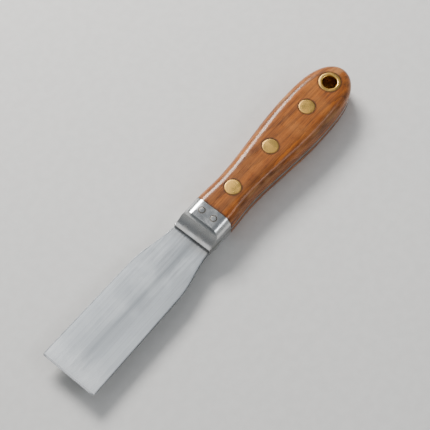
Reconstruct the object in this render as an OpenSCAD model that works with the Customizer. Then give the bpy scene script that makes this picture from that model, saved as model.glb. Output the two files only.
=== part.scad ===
// Flexible putty knife.
//
// A spring-steel blade runs on as a full tang to the butt of the handle. Two wooden
// scales sandwich the tang and are held by cutler's rivets, a two-piece steel bolster
// is pinned at the front, and a brass eyelet lines the hanging hole.
//
// +X runs from the working edge to the butt, +Y lies across the blade and +Z is up.
// The knife lies on its lower faces. The origin is below its middle, on the surface
// that it lies on.

/* [Blade] */
// Length of the blade from its working edge to the bolster
blade_l = 84; // [70:1:100]
// Width of the blade at its working edge
edge_w = 30; // [27:0.5:38]
// Width of the blade where its shoulders end
shoulder_w = 28.8; // [24:0.2:36]
// Length over which the shoulders widen
shoulder_l = 26; // [18:1:34]
// Radius of the two corners of the working edge
corner_r = 1; // [0.4:0.1:3]
// Thickness of the tang, and of the blade where it leaves the bolster
tang_t = 1.8; // [1.4:0.1:2.2]
// Length of blade in front of the bolster that keeps the tang's thickness
ricasso_l = 5; // [2:1:8]
// Length of the hollow grind in front of that
hollow_l = 34; // [24:1:40]
// Thickness where the hollow grind ends
hollow_t = 0.9; // [0.7:0.05:1.2]
// Thickness just behind the bevel of the working edge
tip_t = 0.55; // [0.4:0.05:0.65]
// Thickness of the working edge itself
edge_t = 0.3; // [0.2:0.05:0.35]
// Length of the bevel of the working edge
bevel_l = 1.2; // [0.6:0.1:2.5]
// Distance from the working edge to the line about which the blade flexes
flex_from_edge = 40; // [34:1:42]

/* [Handle] */
// Length of the wooden scales
scale_l = 100; // [90:1:120]
// Thickness of the handle
handle_t = 17; // [15:0.5:20]
// Width of the handle at its front, and of the bolster
neck_w = 21; // [19.5:0.5:23]
// Width of the handle at its waist, behind the bolster
waist_w = 19.5; // [18.5:0.5:23]
// Distance from the bolster to the waist
waist_x = 15; // [12:1:18]
// Width of the handle at its belly
belly_w = 26.5; // [24:0.5:30]
// Distance from the bolster to the belly
belly_x = 66; // [58:1:72]
// Radius of the handle's long edges
round_r = 5; // [3.5:0.25:5]

/* [Bolster] */
// Length of the bolster
bolster_l = 16; // [14:1:20]
// Height of the bolster's nose above the tang
nose_h = 1.7; // [1:0.1:2.5]
// Radius of the cove behind the nose
cove_r = 7.7; // [6.5:0.1:8.5]
// Diameter of the bolster's two pins
pin_d = 3; // [2:0.25:3.25]
// Distance between the centres of the two pins
pin_gap = 6.8; // [5:0.2:7]
// Distance from the pins to the scales
pin_back = 4.2; // [3:0.2:4.6]

/* [Rivets] */
// Distance from the bolster to the first rivet
rivet_first = 14; // [10:1:18]
// Distance between one rivet and the next
rivet_step = 28; // [22:1:30]
// Diameter of the rivets' heads
head_d = 8; // [6.5:0.25:8.5]
// Thickness of the rivets' heads
head_t = 1.6; // [1.2:0.1:2.2]
// Diameter of the hollow shank
shank_d = 5; // [4.5:0.1:5.5]
// Diameter of the spigot that is driven into the shank
spigot_d = 3.2; // [2.6:0.1:3.6]

/* [Hanging hole] */
// Distance from the butt to the centre of the hole
hole_back = 12; // [11:0.5:14]
// Diameter of the hole through the eyelet
hole_d = 7; // [5:0.5:7.5]
// Wall thickness of the eyelet
eyelet_wall = 0.75; // [0.5:0.05:1]
// Diameter of the eyelet's two rims
rim_d = 11; // [10:0.25:11.5]
// Thickness of the eyelet's rims
rim_t = 0.8; // [0.5:0.1:1.5]

/* [Hidden] */
$fn = 64;
RIVETS = 3;

// Clearances, all on the radius
fit_gap = 0.05;         // around what passes through the wood, the tang and the bolster
spigot_gap = 0.02;      // around a rivet's spigot inside its shank
flex_gap = 0.05;        // between the two halves of the blade at the flexing line

// Lengths by which the rivets' shanks and spigots stop short of what they point at
shank_short = 0.8;
spigot_short = 0.5;

// Lengths that only reach past what they cut
reach = 60;
over = 1;

// Places along the knife
length = blade_l + bolster_l + scale_l;
edge_x = -length / 2;
flex_x = edge_x + flex_from_edge;
nose_x = edge_x + blade_l;
scale_x = nose_x + bolster_l;
butt_x = length / 2;
hole_x = butt_x - hole_back;
pin_x = scale_x - pin_back;
pin_y = pin_gap / 2;
function rivet_x(i) = scale_x + rivet_first + (i - 1) * rivet_step;

// Heights: the tang lies midway through the handle
mid_z = handle_t / 2;
bore_floor = 2 * head_t;
spigot_end = bore_floor + spigot_short;

// Half the blade's thickness on the flexing line, which lies in front of the hollow grind
flex_r = mix(tip_t, hollow_t, (flex_from_edge - bevel_l)
    / (blade_l - ricasso_l - hollow_l - bevel_l)) / 2;

// The butt is a superellipse: its exponents along and across the handle, and how its
// points crowd towards the belly
BUTT_LONG = 3.2;
BUTT_WIDE = 2;
BUTT_SPACING = 1.25;

// How finely the curves are followed
CORNER_STEPS = 5;
SHOULDER_STEPS = 20;
HOLLOW_STEPS = 12;
WAIST_STEPS = 5;
BELLY_STEPS = 12;
BUTT_STEPS = 14;
ROUND_STEPS = 6;

STEEL = [0.72, 0.74, 0.75];
BOLSTER_STEEL = [0.80, 0.81, 0.82];
WOOD = [0.62, 0.36, 0.18];
BRASS = [0.80, 0.64, 0.32];

// ---- Curves ----

function mix(a, b, t) = a + (b - a) * t;
function ease(t) = t * t * (3 - 2 * t);
function unit(v) = v / norm(v);

// The same line on the other side of the centreline, run backwards
function mirrored(line, skip = 0) =
    [for (i = [len(line) - 1 - skip : -1 : 0]) [line[i].x, -line[i].y]];

// One side of the blade's outline, from the working edge to the bolster
corner_line = [
    for (i = [0 : CORNER_STEPS])
        let (a = 180 - 90 * i / CORNER_STEPS)
            [edge_x + corner_r * (1 + cos(a)), edge_w / 2 - corner_r * (1 - sin(a))]
];
shoulder_line = [
    for (i = [SHOULDER_STEPS : -1 : 0])
        let (t = i / SHOULDER_STEPS)
            [nose_x - shoulder_l * t, mix(neck_w, shoulder_w, ease(t)) / 2]
];

// One side of the handle's outline, from the scales' front to the middle of the butt
waist_line = [
    for (i = [0 : WAIST_STEPS - 1])
        let (t = i / WAIST_STEPS)
            [scale_x + waist_x * t, mix(neck_w, waist_w, ease(t)) / 2]
];
belly_line = [
    for (i = [0 : BELLY_STEPS - 1])
        let (t = i / BELLY_STEPS)
            [scale_x + mix(waist_x, belly_x, t), mix(waist_w, belly_w, ease(t)) / 2]
];
butt_line = [
    for (i = [0 : BUTT_STEPS])
        let (a = 90 * pow(i / BUTT_STEPS, BUTT_SPACING))
            [scale_x + belly_x + (scale_l - belly_x) * pow(sin(a), 2 / BUTT_LONG),
             belly_w / 2 * pow(cos(a), 2 / BUTT_WIDE)]
];
scale_line = concat(waist_line, belly_line, butt_line);

// Upper side of the blade and tang seen from the side: half the thickness at each x
hollow_x = nose_x - ricasso_l;
side_line = concat(
    [[edge_x, edge_t / 2], [edge_x + bevel_l, tip_t / 2]],
    [
        for (i = [HOLLOW_STEPS : -1 : 0])
            let (t = i / HOLLOW_STEPS)
                [hollow_x - hollow_l * t, mix(hollow_t, tang_t, pow(1 - t, 2)) / 2]
    ],
    [[butt_x, tang_t / 2]]
);

// ---- Shapes shared by several pieces ----

// A solid cylinder across the knife
module across(x, z, r) {
    translate([x, 0, z]) rotate([90, 0, 0]) cylinder(r = r, h = reach, center = true);
}

// A round hole right through the handle
module drilled(x, y, r) {
    translate([x, y, -over]) cylinder(r = r, h = handle_t + 2 * over);
}

// A round recess in the handle's lower face and one in its upper face
module recessed(x, r, depth) {
    translate([x, 0, -over]) cylinder(r = r, h = depth + over);
    translate([x, 0, handle_t - depth]) cylinder(r = r, h = depth + over);
}

module rivet_holes() {
    for (i = [1 : RIVETS]) drilled(rivet_x(i), 0, shank_d / 2 + fit_gap);
}

module rivet_recesses() {
    for (i = [1 : RIVETS]) recessed(rivet_x(i), head_d / 2 + fit_gap, head_t);
}

module pin_holes() {
    for (side = [-1, 1]) drilled(pin_x, side * pin_y, pin_d / 2 + fit_gap);
}

module eyelet_hole() { drilled(hole_x, 0, hole_d / 2 + eyelet_wall + fit_gap); }

module eyelet_recesses() { recessed(hole_x, rim_d / 2 + fit_gap, rim_t); }

// Turns what is made for the upper half of the handle over, to the lower half
module lower_half() { translate([0, 0, handle_t]) rotate([180, 0, 0]) children(); }

// ---- Blade ----

// Blade and tang seen from above, as a tall block
module blade_plan() {
    line = concat(corner_line, shoulder_line, scale_line);
    linear_extrude(handle_t) polygon(concat(line, mirrored(line, skip = 1)));
}

// Blade and tang as one piece of ground steel
module blade_blank() {
    intersection() {
        blade_plan();
        translate([0, 0, mid_z]) rotate([90, 0, 0]) linear_extrude(reach, center = true)
            polygon(concat(side_line, mirrored(side_line)));
    }
}

// All space on the handle's side of the flexing line
module behind_flex_line() {
    translate([flex_x, -reach / 2, 0]) cube([length, reach, handle_t]);
}

// Tang and stiff part of the blade, with a round nose on the flexing line
module blade_root() {
    color(STEEL) difference() {
        union() {
            intersection() {
                blade_blank();
                behind_flex_line();
            }
            intersection() {
                blade_plan();
                across(flex_x, mid_z, flex_r);
            }
        }
        rivet_holes();
        pin_holes();
        eyelet_hole();
    }
}

// Thin flexing end of the blade, hollowed to turn around the root's round nose
module blade_flexing_end() {
    color(STEEL) difference() {
        blade_blank();
        behind_flex_line();
        across(flex_x, mid_z, flex_r + flex_gap);
    }
}

// ---- Bolster ----

// Section of the upper bolster across the knife, rounded like the scales
module bolster_section() {
    flank_y = neck_w / 2 - round_r;
    intersection() {
        union() {
            translate([-flank_y, 0]) square([2 * flank_y, handle_t]);
            translate([-neck_w / 2, 0]) square([neck_w, handle_t - round_r]);
            for (side = [-1, 1]) translate([side * flank_y, handle_t - round_r]) circle(round_r);
        }
        translate([-neck_w / 2, mid_z + tang_t / 2]) square([neck_w, mid_z - tang_t / 2]);
    }
}

module bolster_half() {
    difference() {
        translate([nose_x, 0, 0]) rotate([90, 0, 90]) linear_extrude(bolster_l) bolster_section();
        across(nose_x, mid_z + tang_t / 2 + nose_h + cove_r, cove_r);
        pin_holes();
    }
}

module bolster_upper() { color(BOLSTER_STEEL) bolster_half(); }
module bolster_lower() { color(BOLSTER_STEEL) lower_half() bolster_half(); }

module bolster_pin(side) {
    color(STEEL) translate([pin_x, side * pin_y, 0]) cylinder(d = pin_d, h = handle_t);
}

// ---- Scales ----

// Outward direction of the scales' outline at one of its points
function outward(line, i) =
    i == 0 ? [0, 1] :
    i == len(line) - 1 ? [1, 0] :
    let (along = line[i + 1] - line[i - 1]) unit([-along.y, along.x]);

// The scales' outline drawn in by a distance, as a closed ring at one height
function scale_ring(inset, z) =
    let (line = [for (i = [0 : len(scale_line) - 1])
        scale_line[i] - inset * outward(scale_line, i)])
    [for (p = concat(line, mirrored(line, skip = 1))) [p.x, p.y, z]];

// One scale without its holes: rings stacked from the tang's face to the rounded top
module scale_blank() {
    half = len(scale_line) - 1;
    ring = 2 * half + 1;
    rounds = [
        for (i = [0 : ROUND_STEPS])
            let (a = 90 * i / ROUND_STEPS)
                scale_ring(round_r * (1 - cos(a)), handle_t - round_r * (1 - sin(a)))
    ];
    rings = concat([scale_ring(0, mid_z + tang_t / 2)], rounds);
    top = ring * (len(rings) - 1);
    sides = [
        for (k = [0 : len(rings) - 2], j = [0 : ring - 1])
            let (next = (j + 1) % ring, low = k * ring, high = low + ring)
                [low + j, high + j, high + next, low + next]
    ];
    caps = [
        for (j = [0 : half - 1])
            let (strip = j < half - 1 ? [j, j + 1, ring - 2 - j, ring - 1 - j] : [j, j + 1, j + 2])
                each [strip, [for (m = [len(strip) - 1 : -1 : 0]) top + strip[m]]]
    ];
    polyhedron([for (r = rings) each r], concat(sides, caps));
}

module scale_half() {
    difference() {
        scale_blank();
        rivet_holes();
        rivet_recesses();
        eyelet_hole();
        eyelet_recesses();
    }
}

module scale_upper() { color(WOOD) scale_half(); }
module scale_lower() { color(WOOD) lower_half() scale_half(); }

// ---- Rivets ----

// Upper half of a rivet: a head with a solid spigot
module rivet_male(i) {
    color(BRASS) translate([rivet_x(i), 0, 0]) {
        translate([0, 0, handle_t - head_t]) cylinder(d = head_d, h = head_t);
        translate([0, 0, spigot_end]) cylinder(d = spigot_d, h = handle_t - head_t - spigot_end);
    }
}

// Lower half of a rivet: a head with a hollow shank
module rivet_female(i) {
    color(BRASS) translate([rivet_x(i), 0, 0]) difference() {
        union() {
            cylinder(d = head_d, h = head_t);
            cylinder(d = shank_d, h = handle_t - head_t - shank_short);
        }
        translate([0, 0, bore_floor]) cylinder(r = spigot_d / 2 + spigot_gap, h = handle_t);
    }
}

// ---- Hanging hole ----

module hang_hole_eyelet() {
    color(BRASS) translate([hole_x, 0, 0]) difference() {
        union() {
            cylinder(d = hole_d + 2 * eyelet_wall, h = handle_t);
            cylinder(d = rim_d, h = rim_t);
            translate([0, 0, handle_t - rim_t]) cylinder(d = rim_d, h = rim_t);
        }
        translate([0, 0, -over]) cylinder(d = hole_d, h = handle_t + 2 * over);
    }
}

blade_root();
blade_flexing_end();
bolster_upper();
bolster_lower();
bolster_pin(-1);  // bolster_pin_left
bolster_pin(1);  // bolster_pin_right
scale_upper();
scale_lower();
for (i = [1 : RIVETS]) {
    rivet_male(i);
    rivet_female(i);
}
hang_hole_eyelet();
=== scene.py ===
"""Flexible putty knife: finished pieces, materials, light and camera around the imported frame.

The shape functions work in millimetres, in the frame's own axes: +X runs from the working
edge to the butt, +Y lies across the blade, and the knife lies on z = 0. dress() turns each
finished piece into metres.
"""

import math

import bmesh
import bpy
import numpy as np
from mathutils import Matrix, Vector


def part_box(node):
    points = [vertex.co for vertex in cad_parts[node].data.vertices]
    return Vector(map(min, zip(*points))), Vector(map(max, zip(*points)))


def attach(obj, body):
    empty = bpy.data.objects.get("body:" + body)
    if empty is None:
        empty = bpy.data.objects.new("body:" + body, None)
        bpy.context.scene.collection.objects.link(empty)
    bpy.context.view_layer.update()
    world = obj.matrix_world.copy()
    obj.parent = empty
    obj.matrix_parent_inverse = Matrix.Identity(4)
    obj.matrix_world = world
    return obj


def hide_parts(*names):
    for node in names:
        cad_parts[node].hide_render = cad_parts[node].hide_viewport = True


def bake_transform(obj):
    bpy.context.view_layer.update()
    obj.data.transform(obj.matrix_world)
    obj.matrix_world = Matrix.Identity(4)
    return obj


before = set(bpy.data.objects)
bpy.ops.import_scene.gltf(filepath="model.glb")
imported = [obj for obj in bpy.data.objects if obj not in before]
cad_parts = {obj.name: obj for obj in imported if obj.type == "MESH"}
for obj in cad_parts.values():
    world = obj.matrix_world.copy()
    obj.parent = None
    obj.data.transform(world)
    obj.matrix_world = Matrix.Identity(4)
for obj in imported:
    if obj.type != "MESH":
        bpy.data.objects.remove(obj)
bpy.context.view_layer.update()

# ---------------------------------------------------------------- sizes, in millimetres

MM = 0.001


def box_mm(node):
    """Lowest and highest corner of a CAD node."""
    low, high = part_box(node)
    return Vector(low) / MM, Vector(high) / MM


def centre_mm(node):
    low, high = box_mm(node)
    return (low + high) / 2


# Places that the frame gives
EDGE_X = box_mm("blade_flexing_end")[0].x
EDGE_W = 2 * box_mm("blade_flexing_end")[1].y
NOSE_X = box_mm("bolster_upper")[0].x
SCALE_X = box_mm("scale_upper")[0].x
BUTT_X = box_mm("scale_upper")[1].x
NECK_W = 2 * box_mm("bolster_upper")[1].y
BELLY_W = 2 * box_mm("scale_upper")[1].y
HANDLE_T = box_mm("scale_upper")[1].z
MID_Z = HANDLE_T / 2
TANG_TOP = box_mm("scale_upper")[0].z
TANG_HALF = TANG_TOP - MID_Z
PINS = {side: centre_mm(f"bolster_pin_{side}") for side in ("left", "right")}
RIVETS = {i: centre_mm(f"rivet_{i}_male") for i in (1, 2, 3)}
HOLE = centre_mm("hang_hole_eyelet")
HEAD_R = RIVETS[1].x - box_mm("rivet_1_male")[0].x
PIN_R = PINS["left"].x - box_mm("bolster_pin_left")[0].x
RIM_R = HOLE.x - box_mm("hang_hole_eyelet")[0].x
SPIGOT_END = box_mm("rivet_1_male")[0].z
SHANK_TOP = box_mm("rivet_1_female")[1].z

# Sizes that repeat the CAD model's: the blade
SHOULDER_W = 28.8
SHOULDER_L = 26.0
CORNER_R = 1.0
RICASSO_L = 5.0
HOLLOW_L = 34.0
HOLLOW_T = 0.9
TIP_T = 0.55
EDGE_T = 0.3
BEVEL_L = 1.2

# ... the handle, whose butt is a superellipse, and the bolster
WAIST_W = 19.5
WAIST_L = 15.0
BELLY_L = 66.0
BUTT_LONG = 3.2
BUTT_WIDE = 2.0
ROUND_R = 5.0
NOSE_H = 1.7
COVE_R = 7.7

# ... the rivets and the eyelet
HEAD_T = 1.6
SHANK_R = 2.5
SPIGOT_R = 1.6
BORE_FLOOR = 3.2
HOLE_R = 3.5
EYELET_R = 4.25
RIM_T = 0.8
FIT_GAP = 0.05
SPIGOT_GAP = 0.02

# Softened edges of the blade, the scales and the bolster
BLADE_EDGE = 0.12
SCALE_SEAM = 0.14
SCALE_ROUND = 6.0
SCALE_POWER = 2.4
BOLSTER_NOSE = 0.3
BOLSTER_LIP = 0.5
BOLSTER_EDGE = 0.35
SEAM = 0.08
END_BREAK = 0.12
RIM_BREAK = 0.08

# The largest share of the thickness beside it that a softened edge may take
BLADE_SHARE = 0.6
BOLSTER_SHARE = 0.45

# Softened edges of the turned pieces, and how much lower their faces are at the rim
HEAD_EDGE = 0.12
HEAD_BACK = 0.08
HEAD_DIP = 0.05
SPIGOT_TIP = 0.25
SHANK_TIP = 0.15
BORE_FLARE = 0.3
PIN_EDGE = 0.1
PIN_DIP = 0.04
EYELET_ROLL = 0.75
RIM_EDGE = 0.12
RIM_DIP = 0.1
RIM_BACK = 0.06

# How far the tools that cut holes reach past what they cut
OVER = 1.0

# Points closer together than this are one point, and corners wider than this are straight
SAME_POINT = 0.0005
STRAIGHT = math.radians(178)

# How finely the outlines are followed, and how much their points crowd where the butt starts
CORNER_STEPS = 8
TAPER_STEPS = 44
SHOULDER_STEPS = 26
SLEEVE_STEPS = 8
WAIST_STEPS = 12
BELLY_STEPS = 36
BUTT_STEPS = 30
BUTT_SPACING = 1.25

# How finely every small softened edge is followed
EDGE_STEPS = 3

# How finely the plates are followed: the scales' rounded long edges, and the columns across
ROUND_STEPS = 14
BLADE_COLUMNS = 14
SCALE_COLUMNS = 12

# How finely the bolster is followed: along it, and then round its section
NOSE_STEPS = 4
COVE_STEPS = 18
LIP_STEPS = 6
FLAT_STEPS = 6
FLANK_STEPS = 2
ARC_STEPS = 10
TOP_EDGE_STEPS = 5

# How finely the turned pieces are followed: round them, and then along their profiles
TURN_STEPS = 64
FACE_STEPS = 6
ROLL_STEPS = 7
RIM_STEPS = 5

# Edges that turn by more than this many degrees stay sharp
BLADE_SHARP = 30
BOLSTER_SHARP = 32
SHARP = 35

# Where the blade is darker, in a line along each side of it, and where the scales are worn: about
# a height, given with its spread as shares of the handle's half thickness, and before the butt
SIDE_LINE = 1.0
WORN_HEIGHT = 0.8
WORN_SPREAD = 0.25
WORN_BUTT = 14.0

# ---------------------------------------------------------------- curves


def mix(a, b, t):
    return a + (b - a) * t


def ease(t):
    return t * t * (3 - 2 * t)


def steps(count):
    return np.linspace(0, 1, count + 1)


def quarter(count):
    """Angles from 0 to 90 degrees, in radians."""
    return np.radians(90 * steps(count))


def blade_side():
    """+Y side of the blade seen from above, from its working edge to the bolster."""
    a = np.radians(180 - 90 * steps(CORNER_STEPS))
    corner_x = EDGE_X + CORNER_R * (1 + np.cos(a))
    corner_y = EDGE_W / 2 - CORNER_R * (1 - np.sin(a))
    t = steps(TAPER_STEPS)[1:-1]
    taper_x = mix(EDGE_X + CORNER_R, NOSE_X - SHOULDER_L, t)
    taper_y = mix(EDGE_W, SHOULDER_W, t) / 2
    t = 1 - steps(SHOULDER_STEPS)
    shoulder_x = NOSE_X - SHOULDER_L * t
    shoulder_y = mix(NECK_W, SHOULDER_W, ease(t)) / 2
    x = np.concatenate([corner_x, taper_x, shoulder_x])
    y = np.concatenate([corner_y, taper_y, shoulder_y])
    return np.column_stack([x, y])


def scale_side():
    """+Y side of the handle seen from above, from the scales' front to the middle of the butt."""
    t = steps(WAIST_STEPS)[:-1]
    waist = np.column_stack([SCALE_X + WAIST_L * t, mix(NECK_W, WAIST_W, ease(t)) / 2])
    t = steps(BELLY_STEPS)[:-1]
    belly_x = SCALE_X + mix(WAIST_L, BELLY_L, t)
    belly = np.column_stack([belly_x, mix(WAIST_W, BELLY_W, ease(t)) / 2])
    a = np.radians(90 * steps(BUTT_STEPS) ** BUTT_SPACING)
    sine, cosine = np.sin(a), np.clip(np.cos(a), 0, 1)
    butt_x = mix(SCALE_X + BELLY_L, BUTT_X, sine ** (2 / BUTT_LONG))
    butt = np.column_stack([butt_x, BELLY_W / 2 * cosine ** (2 / BUTT_WIDE)])
    butt[-1] = BUTT_X, 0
    return np.concatenate([waist, belly, butt])


def whole_side():
    """+Y side of blade and tang together."""
    t = steps(SLEEVE_STEPS)[1:-1]
    sleeve = np.column_stack([mix(NOSE_X, SCALE_X, t), np.full(len(t), NECK_W / 2)])
    return np.concatenate([blade_side(), sleeve, scale_side()])


def outward(side, first):
    """Unit normals of an outline that starts facing `first` and ends facing the butt."""
    along = np.zeros_like(side)
    along[1:-1] = side[2:] - side[:-2]
    normals = np.column_stack([-along[:, 1], along[:, 0]])
    normals[0] = first
    normals[-1] = 1, 0
    return normals / np.linalg.norm(normals, axis=1)[:, None]


def half_thickness(x):
    """Half the thickness of blade and tang at each x."""
    hollow_x = NOSE_X - RICASSO_L
    t = np.clip((hollow_x - x) / HOLLOW_L, 0, 1)
    hollow = mix(HOLLOW_T, 2 * TANG_HALF, (1 - t) ** 2)
    ahead = [EDGE_X, EDGE_X + BEVEL_L, hollow_x - HOLLOW_L]
    taper = np.interp(x, ahead, [EDGE_T, TIP_T, HOLLOW_T])
    return np.where(x < hollow_x - HOLLOW_L, taper, hollow) / 2


# ---------------------------------------------------------------- building pieces


class Skin:
    """Gathers grids of points that meet along shared lines, and joins them into one mesh."""

    def __init__(self):
        self.points = []
        self.faces = []

    def grid(self, rows):
        """A sheet of four-sided faces through rows x columns x 3 points."""
        rows = np.asarray(rows, float)
        count, width = rows.shape[:2]
        first = len(self.points)
        self.points.extend(rows.reshape(-1, 3))
        for i in range(count - 1):
            for j in range(width - 1):
                a = first + i * width + j
                self.faces.append((a, a + 1, a + width + 1, a + width))

    def mesh(self, name):
        mesh = bpy.data.meshes.new(name)
        mesh.from_pydata([tuple(p) for p in self.points], [], self.faces)
        work = bmesh.new()
        work.from_mesh(mesh)
        bmesh.ops.remove_doubles(work, verts=work.verts, dist=SAME_POINT)
        bmesh.ops.recalc_face_normals(work, faces=work.faces)
        work.to_mesh(mesh)
        work.free()
        return mesh


def link(name, mesh):
    piece = bpy.data.objects.new(name, mesh)
    bpy.context.scene.collection.objects.link(piece)
    return piece


def turned(name, centre, profile):
    """A mesh turned about the vertical line through centre, from (radius, height) points.

    It starts half a step round, so that none of its corners lie on the knife's centreline.
    """
    turns = np.radians((np.arange(TURN_STEPS + 1) % TURN_STEPS + 0.5) * 360 / TURN_STEPS)
    rows = []
    for radius, height in profile:
        x = centre.x + radius * np.cos(turns)
        y = centre.y + radius * np.sin(turns)
        rows.append(np.column_stack([x, y, np.full(len(turns), height)]))
    skin = Skin()
    skin.grid(rows)
    return skin.mesh(name)


def cut(piece, tools):
    """Takes turned tools out of a piece; each tool is (centre, profile)."""
    for centre, profile in tools:
        tool = link("tool", turned("tool", centre, profile))
        modifier = piece.modifiers.new("hole", "BOOLEAN")
        modifier.operation = "DIFFERENCE"
        modifier.solver = "EXACT"
        modifier.object = tool
        graph = bpy.context.evaluated_depsgraph_get()
        result = bpy.data.meshes.new_from_object(piece.evaluated_get(graph))
        piece.modifiers.remove(modifier)
        result.name = piece.name
        piece.data = result
        bpy.data.objects.remove(tool)
    split_awkward_faces(piece.data)


def split_awkward_faces(mesh):
    """Splits the faces with more than four corners, or with a straight one, into triangles."""
    work = bmesh.new()
    work.from_mesh(mesh)
    awkward = []
    for face in work.faces:
        widest = max(corner.calc_angle() for corner in face.loops)
        if len(face.verts) > 4 or widest > STRAIGHT:
            awkward.append(face)
    bmesh.ops.triangulate(work, faces=awkward, quad_method="BEAUTY", ngon_method="BEAUTY")
    work.to_mesh(mesh)
    work.free()


def finish_shading(piece, sharp_degrees):
    mesh = piece.data
    mesh.polygons.foreach_set("use_smooth", np.ones(len(mesh.polygons), bool))
    mesh.set_sharp_from_angle(angle=math.radians(sharp_degrees))
    weighted = piece.modifiers.new("weighted_normals", "WEIGHTED_NORMAL")
    weighted.keep_sharp = True


def points_of(mesh):
    co = np.zeros(3 * len(mesh.vertices), np.float32)
    mesh.vertices.foreach_get("co", co)
    return co.reshape(-1, 3)


def store(mesh, name, kind, values):
    """Keeps one value for each vertex, for the materials to read."""
    attribute = mesh.attributes.new(name, kind, "POINT")
    key = "vector" if kind == "FLOAT_VECTOR" else "value"
    attribute.data.foreach_set(key, np.asarray(values, np.float32).ravel())


def no_wear(points):
    return np.zeros(len(points))


def dress(piece, material, nodes, sharp_degrees, shift=(0, 0, 0), wear_and_side_line=no_wear):
    """Turns a piece into metres, gives it its material, and hides the CAD nodes it stands for.

    shift moves the place at which the material reads its grain, so that pieces with the
    same material and the same shape don't look alike.
    """
    points = points_of(piece.data)
    store(piece.data, "rest", "FLOAT_VECTOR", points)
    store(piece.data, "grain", "FLOAT_VECTOR", points + np.array(shift))
    store(piece.data, "wear_and_side_line", "FLOAT", wear_and_side_line(points))
    piece.data.transform(Matrix.Scale(MM, 4))
    finish_shading(piece, sharp_degrees)
    piece.data.materials.clear()
    piece.data.materials.append(material)
    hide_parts(*nodes)


def turn_over(mesh):
    """Turns what was made for the upper half of the handle over, to the lower half."""
    points = points_of(mesh)
    points[:, 2] = HANDLE_T - points[:, 2]
    mesh.vertices.foreach_set("co", points.ravel())
    mesh.flip_normals()
    mesh.update()


# ---------------------------------------------------------------- plates: blade and scales


def row_points(side, normals, inset, height, columns):
    """Rows across a plate between its two sides, with inset and height given at each row."""
    line = side - normals * np.reshape(inset, (-1, 1))
    share = np.linspace(1, -1, columns + 1)
    x = np.repeat(line[:, :1], columns + 1, axis=1)
    y = line[:, 1:] * share
    z = np.repeat(np.reshape(height, (-1, 1)), columns + 1, axis=1)
    return np.stack([x, y, z], axis=2)


def ring_points(side, normals, inset, height, columns):
    """The closed rim of those rows."""
    rows = row_points(side, normals, inset, height, columns)
    front = rows[0][::-1]
    return np.concatenate([front, rows[1:, 0], rows[::-1, -1]])


def plate(name, side, normals, levels, columns):
    """A closed plate through levels of (inset, height), each given at every outline point."""
    skin = Skin()
    skin.grid([ring_points(side, normals, *level, columns) for level in levels])
    skin.grid(row_points(side, normals, *levels[0], columns))
    skin.grid(row_points(side, normals, *levels[-1], columns))
    return skin.mesh(name)


def blade_levels(side):
    """From the lower face round the softened edge to the upper face."""
    half = half_thickness(side[:, 0])
    soft = np.minimum(BLADE_EDGE, BLADE_SHARE * half)
    lower = []
    for a in quarter(EDGE_STEPS):
        lower.append((soft * (1 - np.sin(a)), MID_Z - half + soft * (1 - np.cos(a))))
    upper = [(inset, 2 * MID_Z - height) for inset, height in reversed(lower)]
    return lower + upper


def scale_levels(side):
    """From the face on the tang up the flank and over the rounded long edge."""
    every = np.ones(len(side))
    levels = [(SCALE_SEAM * every, TANG_TOP * every), (0 * every, (TANG_TOP + SCALE_SEAM) * every)]
    for a in quarter(ROUND_STEPS):
        inset = SCALE_ROUND * (1 - max(math.cos(a), 0) ** (2 / SCALE_POWER))
        drop = SCALE_ROUND * (1 - math.sin(a) ** (2 / SCALE_POWER))
        levels.append((inset * every, (HANDLE_T - drop) * every))
    return levels


def straight_hole(radius):
    """Profile of a tool for a hole right through."""
    return [(0, -OVER), (radius, -OVER), (radius, HANDLE_T + OVER), (0, HANDLE_T + OVER)]


def stepped_hole(radius, head_radius, head_depth):
    """Profile of a tool for a hole with a recess in the upper face, its rim just broken."""
    floor = HANDLE_T - head_depth
    flare = RIM_BREAK + OVER
    return [
        (0, -OVER),
        (radius, -OVER),
        (radius, floor),
        (head_radius, floor),
        (head_radius, HANDLE_T - RIM_BREAK),
        (head_radius + flare, HANDLE_T - RIM_BREAK + flare),
        (0, HANDLE_T - RIM_BREAK + flare),
    ]


def pin_tools():
    return [(centre, straight_hole(PIN_R + FIT_GAP)) for centre in PINS.values()]


def tang_tools():
    rivets = [(centre, straight_hole(SHANK_R + FIT_GAP)) for centre in RIVETS.values()]
    return rivets + [(HOLE, straight_hole(EYELET_R + FIT_GAP))]


def scale_tools():
    head = stepped_hole(SHANK_R + FIT_GAP, HEAD_R + FIT_GAP, HEAD_T)
    rim = stepped_hole(EYELET_R + FIT_GAP, RIM_R + FIT_GAP, RIM_T)
    return [(centre, head) for centre in RIVETS.values()] + [(HOLE, rim)]


def blade_side_line(points):
    """1 on the blade's long sides, 0 where their line ends, and less farther in and on the tang."""
    side = blade_side()
    half_width = np.interp(points[:, 0], side[:, 0], side[:, 1])
    wear_and_side_line = 1 - (half_width - np.abs(points[:, 1])) / SIDE_LINE
    return np.where(points[:, 0] < NOSE_X, wear_and_side_line, -1)


def make_blade(material):
    side = whole_side()
    normals = outward(side, (-1, 0))
    blade = link("blade", plate("blade", side, normals, blade_levels(side), BLADE_COLUMNS))
    cut(blade, pin_tools() + tang_tools())
    nodes = ["blade_root", "blade_flexing_end"]
    dress(blade, material, nodes, BLADE_SHARP, wear_and_side_line=blade_side_line)
    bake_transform(blade)


def scale_wear(points):
    """Grows along the long edges and round the butt, where a hand rubs the varnish off."""
    above = np.abs(points[:, 2] - MID_Z) / MID_Z
    shoulder = np.clip(1 - np.abs(above - WORN_HEIGHT) / WORN_SPREAD, 0, 1)
    towards_butt = np.clip((points[:, 0] - BUTT_X + WORN_BUTT) / WORN_BUTT, 0, 1)
    return np.maximum(ease(shoulder), ease(towards_butt))


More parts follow.
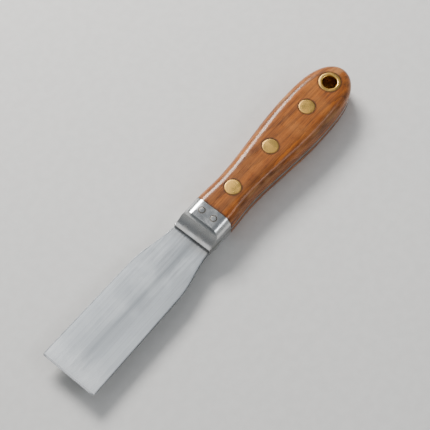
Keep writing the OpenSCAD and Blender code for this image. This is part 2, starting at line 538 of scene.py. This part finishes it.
def make_scale(name, material, shift):
    side = scale_side()
    normals = outward(side, (0, 1))
    scale = link(name, plate(name, side, normals, scale_levels(side), SCALE_COLUMNS))
    cut(scale, scale_tools())
    if name == "scale_lower":
        turn_over(scale.data)
    scale.name = "wood_" + name
    dress(scale, material, [name], SHARP, shift, scale_wear)
    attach(scale, "handle")


# ---------------------------------------------------------------- bolster


def bolster_section(height, inset):
    """+Y side of the bolster's section: (y, z above mid) from the tang's face to the flat top.

    height is where the flat top lies above the middle of the tang, and inset draws the
    whole section in, apart from its foot. Every section has the same number of points, so
    one that is too low for the arc repeats the top of its flank instead.
    """
    radius = ROUND_R - inset
    width = NECK_W / 2 - inset
    top = height - inset
    arc_y = NECK_W / 2 - ROUND_R
    arc_z = MID_Z - ROUND_R
    soft = min(BOLSTER_EDGE, BOLSTER_SHARE * (top - TANG_HALF))
    soft_z = top - soft
    if soft_z > arc_z:
        reach = math.sqrt(max((radius - soft) ** 2 - (soft_z - arc_z) ** 2, 0))
        soft_y = arc_y + reach
        turn = math.atan2(soft_z - arc_z, reach)
    else:
        soft_y = width - soft
        turn = 0
    points = [(width - SEAM, TANG_HALF), (width, TANG_HALF + SEAM)]
    for t in steps(FLANK_STEPS)[1:]:
        points.append((width, mix(TANG_HALF + SEAM, min(arc_z, soft_z), t)))
    for t in steps(ARC_STEPS)[1:]:
        arc = (arc_y + radius * math.cos(turn * t), arc_z + radius * math.sin(turn * t))
        points.append(arc if turn else points[-1])
    for t in steps(TOP_EDGE_STEPS):
        a = mix(turn, math.pi / 2, t)
        points.append((soft_y + soft * math.cos(a), soft_z + soft * math.sin(a)))
    return points


def bolster_stations():
    """(x, height of the flat top above mid, inset) from the nose to the scales."""
    cove_z = TANG_HALF + NOSE_H + COVE_R
    lip_z = MID_Z - BOLSTER_LIP
    lip_x = NOSE_X + math.sqrt((COVE_R + BOLSTER_LIP) ** 2 - (cove_z - lip_z) ** 2)
    cove_start = math.asin(BOLSTER_NOSE / COVE_R) - math.pi / 2
    cove_end = math.atan2(lip_z - cove_z, lip_x - NOSE_X)
    stations = []
    for a in quarter(NOSE_STEPS):
        x = NOSE_X + BOLSTER_NOSE * (1 - math.cos(a))
        stations.append((x, cove_z - COVE_R, BOLSTER_NOSE * (1 - math.sin(a))))
    for t in steps(COVE_STEPS)[1:]:
        a = mix(cove_start, cove_end, t)
        stations.append((NOSE_X + COVE_R * math.cos(a), cove_z + COVE_R * math.sin(a), 0))
    for t in steps(LIP_STEPS)[1:]:
        a = mix(cove_end + math.pi, math.pi / 2, t)
        stations.append((lip_x + BOLSTER_LIP * math.cos(a), lip_z + BOLSTER_LIP * math.sin(a), 0))
    for t in steps(FLAT_STEPS)[1:]:
        stations.append((mix(lip_x, SCALE_X - END_BREAK, t), MID_Z, 0))
    stations.append((SCALE_X, MID_Z, END_BREAK))
    return stations


def make_bolster_half(name, material, shift):
    rings = []
    for x, height, inset in bolster_stations():
        half = np.array([(x, y, MID_Z + z) for y, z in bolster_section(height, inset)])
        other = half[::-1] * (1, -1, 1)
        rings.append(np.concatenate([half, other, half[:1]]))
    skin = Skin()
    skin.grid(rings)
    for ring in (rings[0], rings[-1]):
        half = ring[: len(ring) // 2]
        skin.grid(np.stack([half, half * (1, -1, 1)], axis=1))
    bolster = link(name, skin.mesh(name))
    cut(bolster, pin_tools())
    if name == "bolster_lower":
        turn_over(bolster.data)
    bolster.name = "steel_" + name
    dress(bolster, material, [name], BOLSTER_SHARP, shift)
    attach(bolster, "handle")


# ---------------------------------------------------------------- turned pieces


def rounded(radius, height, soft, inward, up):
    """Profile points of a small quarter round at a corner of a turned piece.

    The corner is at (radius, height). The points go from the side of the piece to its face
    if inward is 1, and the other way if it is -1. up is 1 for a face that looks up and -1
    for one that looks down.
    """
    points = []
    for a in quarter(EDGE_STEPS)[::inward]:
        side = radius - soft * (1 - math.cos(a))
        points.append((side, height - up * soft * (1 - math.sin(a))))
    return points


def domed(radius, height, dip, up):
    """Face of a head that was peened and sanded: a little lower at its rim than its middle."""
    face = []
    for t in steps(FACE_STEPS)[1:]:
        share = 1 - t
        face.append((radius * share, height - up * dip * share ** 2))
    return face


def male_profile():
    """A head on top, and the spigot below it."""
    back = HANDLE_T - HEAD_T
    profile = [(0, SPIGOT_END)]
    profile += rounded(SPIGOT_R, SPIGOT_END, SPIGOT_TIP, -1, -1)
    profile += [(SPIGOT_R, back)]
    profile += rounded(HEAD_R, back, HEAD_BACK, -1, -1)
    profile += rounded(HEAD_R, HANDLE_T - HEAD_DIP, HEAD_EDGE, 1, 1)
    profile += domed(HEAD_R - HEAD_EDGE, HANDLE_T, HEAD_DIP, 1)
    return profile


def female_profile():
    """A head at the bottom, and above it the shank with a bore for the spigot."""
    bore = SPIGOT_R + SPIGOT_GAP
    profile = [(0, BORE_FLOOR), (bore, BORE_FLOOR)]
    profile += [(bore, SHANK_TOP - BORE_FLARE), (SPIGOT_R + BORE_FLARE, SHANK_TOP)]
    profile += rounded(SHANK_R, SHANK_TOP, SHANK_TIP, 1, 1)[::-1]
    profile += [(SHANK_R, HEAD_T)]
    profile += rounded(HEAD_R, HEAD_T, HEAD_BACK, -1, 1)
    profile += rounded(HEAD_R, HEAD_DIP, HEAD_EDGE, 1, -1)
    profile += domed(HEAD_R - HEAD_EDGE, 0, HEAD_DIP, -1)
    return profile


def make_rivet(i, material):
    for half, profile in (("male", male_profile()), ("female", female_profile())):
        node = f"rivet_{i}_{half}"
        rivet = link("brass_" + node, turned(node, RIVETS[i], profile))
        dress(rivet, material, [node], SHARP, shift=(0, 0, 7 * i))
        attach(rivet, "handle")


def make_pin(side, material):
    profile = domed(PIN_R - PIN_EDGE, 0, PIN_DIP, -1)[::-1]
    profile += rounded(PIN_R, PIN_DIP, PIN_EDGE, -1, -1)
    profile += rounded(PIN_R, HANDLE_T - PIN_DIP, PIN_EDGE, 1, 1)
    profile += domed(PIN_R - PIN_EDGE, HANDLE_T, PIN_DIP, 1)
    node = f"bolster_pin_{side}"
    pin = link("steel_" + node, turned(node, PINS[side], profile))
    dress(pin, material, [node], SHARP)
    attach(pin, "handle")


def make_eyelet(material):
    """A tube with two rolled rims; the bore opens in a soft round at each end."""
    back = HANDLE_T - RIM_T
    mouth = HOLE_R + EYELET_ROLL
    upper = []
    for a in quarter(ROLL_STEPS):
        radius = HOLE_R + EYELET_ROLL * (1 - math.cos(a))
        upper.append((radius, HANDLE_T - EYELET_ROLL * (1 - math.sin(a))))
    for t in steps(RIM_STEPS)[1:]:
        upper.append((mix(mouth, RIM_R - RIM_EDGE, t), HANDLE_T - RIM_DIP * t * t))
    upper += [(RIM_R, HANDLE_T - RIM_DIP - RIM_EDGE), (RIM_R, back + RIM_BACK)]
    upper += [(RIM_R - RIM_BACK, back), (EYELET_R, back)]
    lower = [(radius, HANDLE_T - height) for radius, height in reversed(upper)]
    profile = upper + lower + upper[:1]
    eyelet = link("brass_hang_hole_eyelet", turned("hang_hole_eyelet", HOLE, profile))
    dress(eyelet, material, ["hang_hole_eyelet"], SHARP)
    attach(eyelet, "handle")


# ---------------------------------------------------------------- materials


class Graph:
    """A material's node tree, with one short method for each kind of step."""

    def __init__(self, name):
        self.material = bpy.data.materials.new(name)
        self.material.use_nodes = True
        self.tree = self.material.node_tree
        self.shader = self.tree.nodes["Principled BSDF"]

    def node(self, kind, inputs, **settings):
        made = self.tree.nodes.new("ShaderNode" + kind)
        for key, value in settings.items():
            setattr(made, key, value)
        for key, value in inputs.items():
            self.plug(made, key, value)
        return made

    def plug(self, node, socket, value):
        if isinstance(value, bpy.types.NodeSocket):
            self.tree.links.new(value, node.inputs[socket])
        else:
            node.inputs[socket].default_value = value

    def math(self, operation, a, b=0.0, c=0.0):
        return self.node("Math", {0: a, 1: b, 2: c}, operation=operation).outputs[0]

    def times(self, a, b):
        return self.math("MULTIPLY", a, b)

    def added(self, base, amount, mask):
        """base, with amount added where mask is 1 and nothing where it is 0."""
        return self.math("MULTIPLY_ADD", mask, amount, base)

    def apart(self, a, b):
        """How far apart two values are."""
        return self.math("ABSOLUTE", self.math("SUBTRACT", a, b))

    def most(self, *values):
        """The largest of the values."""
        largest = values[0]
        for value in values[1:]:
            largest = self.math("MAXIMUM", largest, value)
        return largest

    def rest(self):
        """Place at rest in millimetres, which stays with the surface when the piece bends."""
        return self.node("Attribute", {}, attribute_name="rest").outputs["Vector"]

    def grain(self):
        """The same place, moved on in some of the pieces so that no two look alike."""
        return self.node("Attribute", {}, attribute_name="grain").outputs["Vector"]

    def wear_and_side_line(self):
        return self.node("Attribute", {}, attribute_name="wear_and_side_line").outputs["Fac"]

    def axes(self, vector):
        return self.node("SeparateXYZ", {0: vector}).outputs

    def stretched(self, vector, scale, turn=0.0):
        """The place turned about Z by some degrees, then scaled along each axis."""
        if turn:
            turned_by = {"Vector": vector, "Rotation": (0, 0, math.radians(turn))}
            vector = self.node("Mapping", turned_by).outputs[0]
        return self.node("Mapping", {"Vector": vector, "Scale": scale}).outputs[0]

    def noise(self, vector, scale, detail=2.0, roughness=0.5, turn=0.0):
        """Noise with `scale` features per millimetre along each axis."""
        inputs = {
            "Vector": self.stretched(vector, scale, turn),
            "Scale": 1.0,
            "Detail": detail,
            "Roughness": roughness,
        }
        return self.node("TexNoise", inputs).outputs["Fac"]

    def ramp(self, value, low, high, out_low=0.0, out_high=1.0):
        """A soft step from out_low to out_high as value goes from low to high."""
        inputs = {
            "Value": value,
            "From Min": low,
            "From Max": high,
            "To Min": out_low,
            "To Max": out_high,
        }
        made = self.node("MapRange", inputs, interpolation_type="SMOOTHSTEP")
        return made.outputs["Result"]

    def blend(self, share, first, second):
        """The first colour where share is 0, and the second where it is 1."""
        made = self.node("Mix", {0: share}, data_type="RGBA")
        for socket, colour in ((6, first), (7, second)):
            if not isinstance(colour, bpy.types.NodeSocket):
                colour = (*colour, 1.0)
            self.plug(made, socket, colour)
        return made.outputs[2]

    def lerp(self, share, first, second):
        """The same for two numbers."""
        return self.node("Mix", {0: share, 2: first, 3: second}, data_type="FLOAT").outputs[0]

    def bump(self, height, depth_mm, normal=None):
        """Relief whose height input of 1 stands depth_mm proud."""
        inputs = {"Height": height, "Distance": depth_mm * MM}
        if normal is not None:
            inputs["Normal"] = normal
        return self.node("Bump", inputs).outputs[0]

    def finish(self, **sockets):
        """Sets the shader's sockets, whose names are given with _ for each space."""
        for key, value in sockets.items():
            self.plug(self.shader, key.replace("_", " "), value)
        return self.material


HEADS = [(c.x, c.y, HEAD_R) for c in RIVETS.values()] + [(HOLE.x, HOLE.y, RIM_R)]
PIN_ENDS = [(c.x, c.y, PIN_R) for c in PINS.values()]
FAR = 1000.0


def outside(g, x, y, circles):
    """How far a point is outside the nearest of some upright (x, y, radius) circles."""
    nearest = FAR
    for centre_x, centre_y, radius in circles:
        along = g.math("POWER", g.math("SUBTRACT", x, centre_x), 2.0)
        across = g.math("POWER", g.math("SUBTRACT", y, centre_y), 2.0)
        away = g.math("SQRT", g.math("ADD", along, across))
        nearest = g.math("MINIMUM", g.math("SUBTRACT", away, radius), nearest)
    return nearest


def above_tang(g, z):
    """How far a point is above or below the tang's faces."""
    return g.math("SUBTRACT", g.apart(z, MID_Z), TANG_HALF)


def scratches(g, place, turn, limit):
    """Thin straight scratches turned from the knife's length: up to 1 on one, 0 elsewhere.

    turn is in degrees, and a lower limit gives more of them.
    """
    lines = g.noise(place, (0.045, 8.0, 0.1), 1.0, 0.5, turn)
    patches = g.noise(place, (0.05, 0.05, 0.05), 1.0)
    bar = g.ramp(patches, 0.35, 0.7, limit + 0.09, limit)
    return g.ramp(g.math("SUBTRACT", lines, bar), 0.0, 0.05)


# Colours are linear red, green and blue
SATIN_DARK = (0.425, 0.452, 0.48)
SATIN_LIGHT = (0.53, 0.56, 0.585)
SATIN_LINE = (0.66, 0.68, 0.69)
SATIN_STREAK = (0.25, 0.27, 0.29)
SATIN_SMUDGE = (0.41, 0.43, 0.44)
SATIN_SIDE = (0.20, 0.215, 0.23)
SCOURED = (0.66, 0.67, 0.675)
RUBBED = (0.76, 0.77, 0.775)
TARNISHED = (0.25, 0.22, 0.18)
BEVELLED = (0.72, 0.73, 0.735)
BEVEL_ROUGHNESS = 0.22


def middle_streak(g, place, smudges):
    """A darker streak that wanders down the blade's middle, faint beside the working edge."""
    x, y, _z = g.axes(place)
    broad = g.noise(place, (0.012, 0.35, 0.3), 2.0)
    off_streak = g.apart(y, g.math("MULTIPLY_ADD", broad, 5.0, -3.2))
    wide = g.ramp(off_streak, 0.5, 6.5, 0.30, 0.0)
    narrow = g.ramp(off_streak, 0.1, 2.3, 0.55, 0.0)
    narrow = g.times(narrow, g.ramp(smudges, 0.3, 0.7, 0.35, 1.0))
    from_tip = g.ramp(x, EDGE_X + 2, EDGE_X + 22)
    return g.math("ADD", wide, g.times(narrow, from_tip))


def scoured_end(g, place, x):
    """Where work on glass and putty scours the blade, and the short slanting scratches there."""
    feather = g.noise(place, (0.10, 0.5, 0.5), 3.0, 0.6)
    from_edge = g.added(g.math("SUBTRACT", x, EDGE_X), -14.0, feather)
    scoured = g.ramp(from_edge, -4.0, 9.0, 1.0, 0.0)
    rubs = g.most(
        g.ramp(g.noise(place, (0.22, 9.0, 1.0), 1.0, 0.5, 12), 0.52, 0.68),
        g.ramp(g.noise(place, (0.22, 9.0, 1.0), 1.0, 0.5, -17), 0.54, 0.68),
    )
    return scoured, g.times(rubs, scoured)


def blade_steel():
    """Satin spring steel: polished lengthwise, scratched in use, scoured by its working edge."""
    g = Graph("blade_steel")
    place = g.rest()
    x = g.axes(place)[0]
    streaks = g.noise(place, (0.0025, 2.4, 2.0), 5.0, 0.66)
    lines = g.noise(place, (0.010, 14.0, 8.0), 2.0, 0.7)
    smudges = g.noise(place, (0.06, 0.08, 0.08), 3.0, 0.55)
    marks = g.most(
        scratches(g, place, 24, 0.66),
        scratches(g, place, -38, 0.68),
        scratches(g, place, 71, 0.70),
    )
    scoured, rubs = scoured_end(g, place, x)

    # The steel is darker in a thin line along each side, and tarnished beside the bolster and
    # on the tang's edge between the scales
    near_bolster = g.ramp(x, NOSE_X - 6, NOSE_X, 0.0, 0.7)
    tarnish = g.times(near_bolster, g.ramp(smudges, 0.3, 0.7, 0.2, 1.0))
    sides = g.ramp(g.wear_and_side_line(), 0.2, 0.9, 0.0, 0.75)
    bevel = g.ramp(x, EDGE_X + BEVEL_L - 0.05, EDGE_X + BEVEL_L + 0.05, 1.0, 0.0)

    colour = g.blend(g.ramp(streaks, 0.3, 0.7), SATIN_DARK, SATIN_LIGHT)
    colour = g.blend(g.ramp(lines, 0.35, 0.65, 0.0, 0.35), colour, SATIN_LINE)
    colour = g.blend(middle_streak(g, place, smudges), colour, SATIN_STREAK)
    colour = g.blend(g.ramp(smudges, 0.45, 0.75, 0.0, 0.35), colour, SATIN_SMUDGE)
    colour = g.blend(g.times(scoured, 0.25), colour, SCOURED)
    colour = g.blend(g.times(rubs, 0.5), colour, RUBBED)
    colour = g.blend(tarnish, colour, TARNISHED)
    colour = g.blend(sides, colour, SATIN_SIDE)
    colour = g.blend(bevel, colour, BEVELLED)

    rough = g.ramp(streaks, 0.25, 0.75, 0.27, 0.35)
    rough = g.math("ADD", rough, g.ramp(smudges, 0.4, 0.8, 0.0, 0.10))
    rough = g.added(rough, 0.06, scoured)
    rough = g.added(rough, 0.08, marks)
    rough = g.lerp(bevel, rough, BEVEL_ROUGHNESS)

    relief = g.bump(lines, 0.0035)
    relief = g.bump(rubs, -0.0012, relief)
    relief = g.bump(marks, -0.0015, relief)
    return g.finish(Base_Color=colour, Metallic=1.0, Roughness=rough, Normal=relief)


BUFFED_LIGHT = (0.69, 0.70, 0.70)
BUFFED_DARK = (0.60, 0.61, 0.615)
BUFFED_DULL = (0.33, 0.31, 0.28)
PIN_GROOVE_SHADE = (0.11, 0.10, 0.09)


def bolster_steel():
    """Ground and buffed steel, duller in the seams and the cove, with a dark ring of painted shade
    at each pin, as of a groove round it.
    """
    g = Graph("bolster_steel")
    place = g.grain()
    x, y, z = g.axes(g.rest())
    lines = g.noise(place, (7.0, 0.05, 0.6), 3.0, 0.6)
    smudges = g.noise(place, (0.15, 0.15, 0.15), 3.0, 0.55)
    marks = g.most(scratches(g, place, 55, 0.68), scratches(g, place, -20, 0.69))
    seam = g.ramp(above_tang(g, z), 0.0, 0.7, 0.8, 0.0)
    joint = g.ramp(x, SCALE_X - 0.7, SCALE_X, 0.0, 0.7)
    cove = g.ramp(x, NOSE_X + 2.0, NOSE_X + 8.5, 0.5, 0.0)
    # A dark ring of painted shade at each pin's joint, as if a groove ran round it
    ring = g.ramp(g.math("ABSOLUTE", outside(g, x, y, PIN_ENDS)), 0.08, 0.5, 1.0, 0.0)
    dull = g.times(g.most(seam, joint, cove), g.ramp(smudges, 0.25, 0.65, 0.35, 1.0))
    dull = g.most(dull, ring)

    colour = g.blend(smudges, BUFFED_LIGHT, BUFFED_DARK)
    colour = g.blend(dull, colour, BUFFED_DULL)
    colour = g.blend(g.times(ring, 0.7), colour, PIN_GROOVE_SHADE)

    rough = g.ramp(smudges, 0.3, 0.75, 0.16, 0.30)
    rough = g.added(rough, 0.14, dull)
    rough = g.added(rough, 0.05, marks)

    relief = g.bump(lines, 0.0006)
    relief = g.bump(marks, -0.0004, relief)
    return g.finish(Base_Color=colour, Metallic=1.0, Roughness=rough, Normal=relief)


BRASS_LIGHT = (0.89, 0.60, 0.215)
BRASS_DARK = (0.78, 0.49, 0.155)
BRASS_BROWN = (0.33, 0.20, 0.09)


def rivet_brass():
    """Brass sanded flush with the wood, browner towards the edges of each head."""
    g = Graph("rivet_brass")
    place = g.grain()
    x, y, _z = g.axes(g.rest())
    lines = g.noise(place, (0.15, 7.0, 1.0), 3.0, 0.6)
    smudges = g.noise(place, (0.22, 0.22, 0.22), 1.0)
    marks = g.most(scratches(g, place, 15, 0.66), scratches(g, place, -30, 0.68))
    rim = g.ramp(outside(g, x, y, HEADS), -0.8, 0.0, 0.0, 0.85)
    brown = g.most(rim, g.ramp(smudges, 0.45, 0.85, 0.0, 0.5))

    colour = g.blend(g.ramp(smudges, 0.3, 0.7), BRASS_LIGHT, BRASS_DARK)
    colour = g.blend(brown, colour, BRASS_BROWN)

    rough = g.ramp(smudges, 0.3, 0.8, 0.22, 0.38)
    rough = g.added(rough, 0.12, marks)
    rough = g.added(rough, 0.12, rim)

    relief = g.bump(lines, 0.004)
    relief = g.bump(marks, -0.004, relief)
    return g.finish(Base_Color=colour, Metallic=1.0, Roughness=rough, Normal=relief)


# The pith of the tree is a line: its place where x is 0, and how far it moves for each
# millimetre along x. A growth ring is RING_MM wide.
PITH_Y = 17.0
PITH_Z = -26.0
PITH_TILT_Y = 0.07
PITH_TILT_Z = 0.10
RING_MM = 2.1

WOOD_LIGHT = (0.43, 0.138, 0.027)
WOOD_DARK = (0.190, 0.056, 0.015)
WOOD_LATE = (0.070, 0.026, 0.014)
WOOD_FIBRE = (0.54, 0.215, 0.052)
WOOD_FIGURE = (0.60, 0.26, 0.075)
WOOD_PORE = (0.050, 0.022, 0.013)
WOOD_BUTT = (0.13, 0.055, 0.028)
WOOD_GRIME_AND_SHADE = (0.045, 0.024, 0.015)
WOOD_WORN = (0.60, 0.36, 0.19)
WORN_ROUGHNESS = 0.62


def late_wood(g, place):
    """The dark late wood of the growth rings: 0 in early wood, and up to 1 before a ring ends.

    The rings are distances from the pith, and some years are darker than others.
    """
    x, y, z = g.axes(place)
    sway = g.noise(place, (0.012, 0.05, 0.05), 2.0)
    ripple = g.noise(place, (0.05, 0.30, 0.30), 2.0)
    across = g.math("SUBTRACT", y, g.math("MULTIPLY_ADD", x, PITH_TILT_Y, PITH_Y))
    above = g.math("SUBTRACT", z, g.math("MULTIPLY_ADD", x, PITH_TILT_Z, PITH_Z))
    squares = g.math("ADD", g.math("POWER", across, 2.0), g.math("POWER", above, 2.0))
    distance = g.added(g.math("SQRT", squares), 9.0, sway)
    distance = g.added(distance, 1.1, ripple)
    rings = g.math("DIVIDE", distance, RING_MM)
    share = g.math("FRACT", rings)
    late = g.times(g.ramp(share, 0.25, 0.92), g.ramp(share, 0.93, 1.0, 1.0, 0.0))
    year = g.node("TexWhiteNoise", {"W": g.math("FLOOR", rings)}, noise_dimensions="1D")
    return g.times(late, g.ramp(year.outputs["Value"], 0.0, 1.0, 0.45, 1.0))


def seam_grime_and_shade(g, place, x, y, z):
    """Grime and painted shade in the seams beside the tang, the bolster, the rivets and the eyelet.
    """
    patches = g.noise(place, (0.35, 0.6, 0.6), 3.0, 0.6)
    seam = g.ramp(above_tang(g, z), 0.0, 0.9, 0.9, 0.0)
    joint = g.ramp(x, SCALE_X, SCALE_X + 1.2, 0.9, 0.0)
    halo = g.ramp(outside(g, x, y, HEADS), 0.1, 1.1, 0.9, 0.0)
    return g.times(g.most(seam, joint, halo), g.ramp(patches, 0.25, 0.7, 0.35, 1.0))


def handle_wood():
    """Varnished orange-brown hardwood: rings, streaks, pores, and wear where a hand rubs."""
    g = Graph("handle_wood")
    place = g.grain()
    x, y, z = g.axes(g.rest())
    late = late_wood(g, place)
    streaks = g.noise(place, (0.014, 0.55, 0.55), 4.0, 0.6)
    fibres = g.noise(place, (0.07, 3.2, 3.2), 3.0, 0.6)
    fine = g.noise(place, (0.16, 12.0, 12.0), 2.0, 0.6)
    pores = g.ramp(g.noise(place, (0.30, 8.0, 8.0), 1.0), 0.62, 0.70)
    figure = g.noise(place, (0.11, 0.05, 0.05), 2.0)

    colour = g.blend(g.ramp(streaks, 0.34, 0.68), WOOD_LIGHT, WOOD_DARK)
    colour = g.blend(g.times(late, 0.85), colour, WOOD_LATE)
    colour = g.blend(g.ramp(fibres, 0.35, 0.72, 0.0, 0.36), colour, WOOD_FIBRE)
    colour = g.blend(g.ramp(figure, 0.45, 0.70, 0.0, 0.20), colour, WOOD_FIGURE)
    colour = g.blend(g.times(pores, 0.75), colour, WOOD_PORE)

    # End grain at the butt drinks in more varnish and is darker
    butt = g.ramp(x, BUTT_X - 5, BUTT_X, 0.0, 0.5)
    colour = g.blend(butt, colour, WOOD_BUTT)
    # The seams are darkened with grime and with painted shade
    colour = g.blend(seam_grime_and_shade(g, place, x, y, z), colour, WOOD_GRIME_AND_SHADE)

    # Where the varnish is rubbed thin the wood is paler and dry
    rubbing = g.noise(place, (0.05, 0.16, 0.16), 4.0, 0.6)
    worn = g.times(g.wear_and_side_line(), g.ramp(rubbing, 0.44, 0.66))
    colour = g.blend(g.times(worn, 0.45), colour, WOOD_WORN)
    rough = g.lerp(worn, g.ramp(streaks, 0.3, 0.7, 0.38, 0.50), WORN_ROUGHNESS)
    coat = g.math("SUBTRACT", g.ramp(rubbing, 0.25, 0.8, 0.65, 0.45), g.times(worn, 0.4))

    relief = g.bump(g.added(g.times(fibres, 0.6), 0.8, late), 0.02)
    relief = g.bump(fine, 0.006, relief)
    relief = g.bump(pores, -0.03, relief)
    g.shader.inputs["Specular IOR Level"].default_value = 0.3
    g.shader.inputs["Coat Roughness"].default_value = 0.16
    g.shader.inputs["Coat IOR"].default_value = 1.5
    return g.finish(
        Base_Color=colour,
        Roughness=rough,
        Coat_Weight=coat,
        Normal=relief,
        Coat_Normal=g.bump(rubbing, 0.07),
    )


# ---------------------------------------------------------------- floor, light and camera

# From here on, places and sizes are in metres, and the lens is in millimetres
FLOOR_SIZE = 8
FLOOR_GRAIN = 220.0
FLOOR_DARK = (0.74, 0.735, 0.72)
FLOOR_LIGHT = (0.77, 0.765, 0.75)

# Colour of the surroundings by height: 0 is level with the floor, and 1 is straight up
SKY = [
    (0.0, (0.35, 0.35, 0.35)),
    (0.14, (0.61, 0.61, 0.60)),
    (0.9, (0.36, 0.375, 0.395)),
]
SKY_STRENGTH = 0.68

WARM = (1.0, 0.98, 0.95)
COOL = (0.95, 0.97, 1.0)
WHITE = (1, 1, 1)

AZIMUTH = math.radians(-50.5)
ELEVATION = math.radians(64)
DISTANCE = 0.555
LENS = 100.0
AIM = Vector((0.001, 0.0, 0.008))


def make_floor():
    g = Graph("floor")
    place = g.node("TexCoord", {}).outputs["Object"]
    grain = g.node("TexNoise", {"Vector": place, "Scale": FLOOR_GRAIN, "Detail": 3.0})
    colour = g.blend(g.ramp(grain.outputs["Fac"], 0.3, 0.7), FLOOR_DARK, FLOOR_LIGHT)
    material = g.finish(Base_Color=colour, Roughness=0.75)
    bpy.ops.mesh.primitive_plane_add(size=FLOOR_SIZE, location=(0, 0, 0))
    floor = bpy.context.object
    floor.name = "floor"
    floor.data.materials.append(material)


def make_world():
    world = bpy.data.worlds.new("studio")
    bpy.context.scene.world = world
    world.use_nodes = True
    tree = world.node_tree
    background = tree.nodes["Background"]
    place = tree.nodes.new("ShaderNodeTexCoord")
    height = tree.nodes.new("ShaderNodeSeparateXYZ")
    tree.links.new(place.outputs["Generated"], height.inputs[0])
    ramp = tree.nodes.new("ShaderNodeValToRGB")
    stops = ramp.color_ramp.elements
    while len(stops) < len(SKY):
        stops.new(0.5)
    for stop, (position, colour) in zip(stops, SKY):
        stop.position = position
        stop.color = (*colour, 1)
    tree.links.new(height.outputs[2], ramp.inputs[0])
    tree.links.new(ramp.outputs[0], background.inputs["Color"])
    background.inputs["Strength"].default_value = SKY_STRENGTH
    bpy.context.scene.view_settings.look = "AgX - Medium High Contrast"


def make_light(name, place, size, power, colour):
    """A softbox that faces the middle of the knife."""
    data = bpy.data.lights.new(name, "AREA")
    data.shape = "RECTANGLE"
    data.size, data.size_y = size
    data.energy = power
    data.color = colour
    light = bpy.data.objects.new(name, data)
    bpy.context.scene.collection.objects.link(light)
    light.location = place
    light.rotation_mode = "QUATERNION"
    light.rotation_quaternion = Vector(place).to_track_quat("Z", "Y")


def make_lights():
    make_light("key", place=(0.30, 0.65, 0.62), size=(0.45, 0.32), power=9.0, colour=WARM)
    make_light("top", place=(0.0, 0.30, 0.95), size=(0.34, 0.50), power=0.40, colour=WHITE)
    make_light("fill", place=(0.30, -0.62, 0.66), size=(0.60, 0.20), power=1.2, colour=COOL)


def make_camera():
    data = bpy.data.cameras.new("camera")
    data.lens = LENS
    data.clip_start = 0.01
    data.clip_end = 20
    camera = bpy.data.objects.new("camera", data)
    bpy.context.scene.collection.objects.link(camera)
    level = math.cos(ELEVATION)
    back = Vector((math.sin(AZIMUTH) * level, -math.cos(AZIMUTH) * level, math.sin(ELEVATION)))
    camera.location = AIM + back * DISTANCE
    camera.rotation_mode = "QUATERNION"
    camera.rotation_quaternion = back.to_track_quat("Z", "Y")
    bpy.context.scene.camera = camera


# ---------------------------------------------------------------- the knife

steel = blade_steel()
buffed = bolster_steel()
brass = rivet_brass()
wood = handle_wood()

make_blade(steel)
make_bolster_half("bolster_upper", buffed, shift=(0, 0, 0))
make_bolster_half("bolster_lower", buffed, shift=(40, 0, 0))
for side in PINS:
    make_pin(side, buffed)
make_scale("scale_upper", wood, shift=(0, 0, 0))
make_scale("scale_lower", wood, shift=(0, 9, -14))
for i in RIVETS:
    make_rivet(i, brass)
make_eyelet(brass)

make_floor()
make_world()
make_lights()
make_camera()
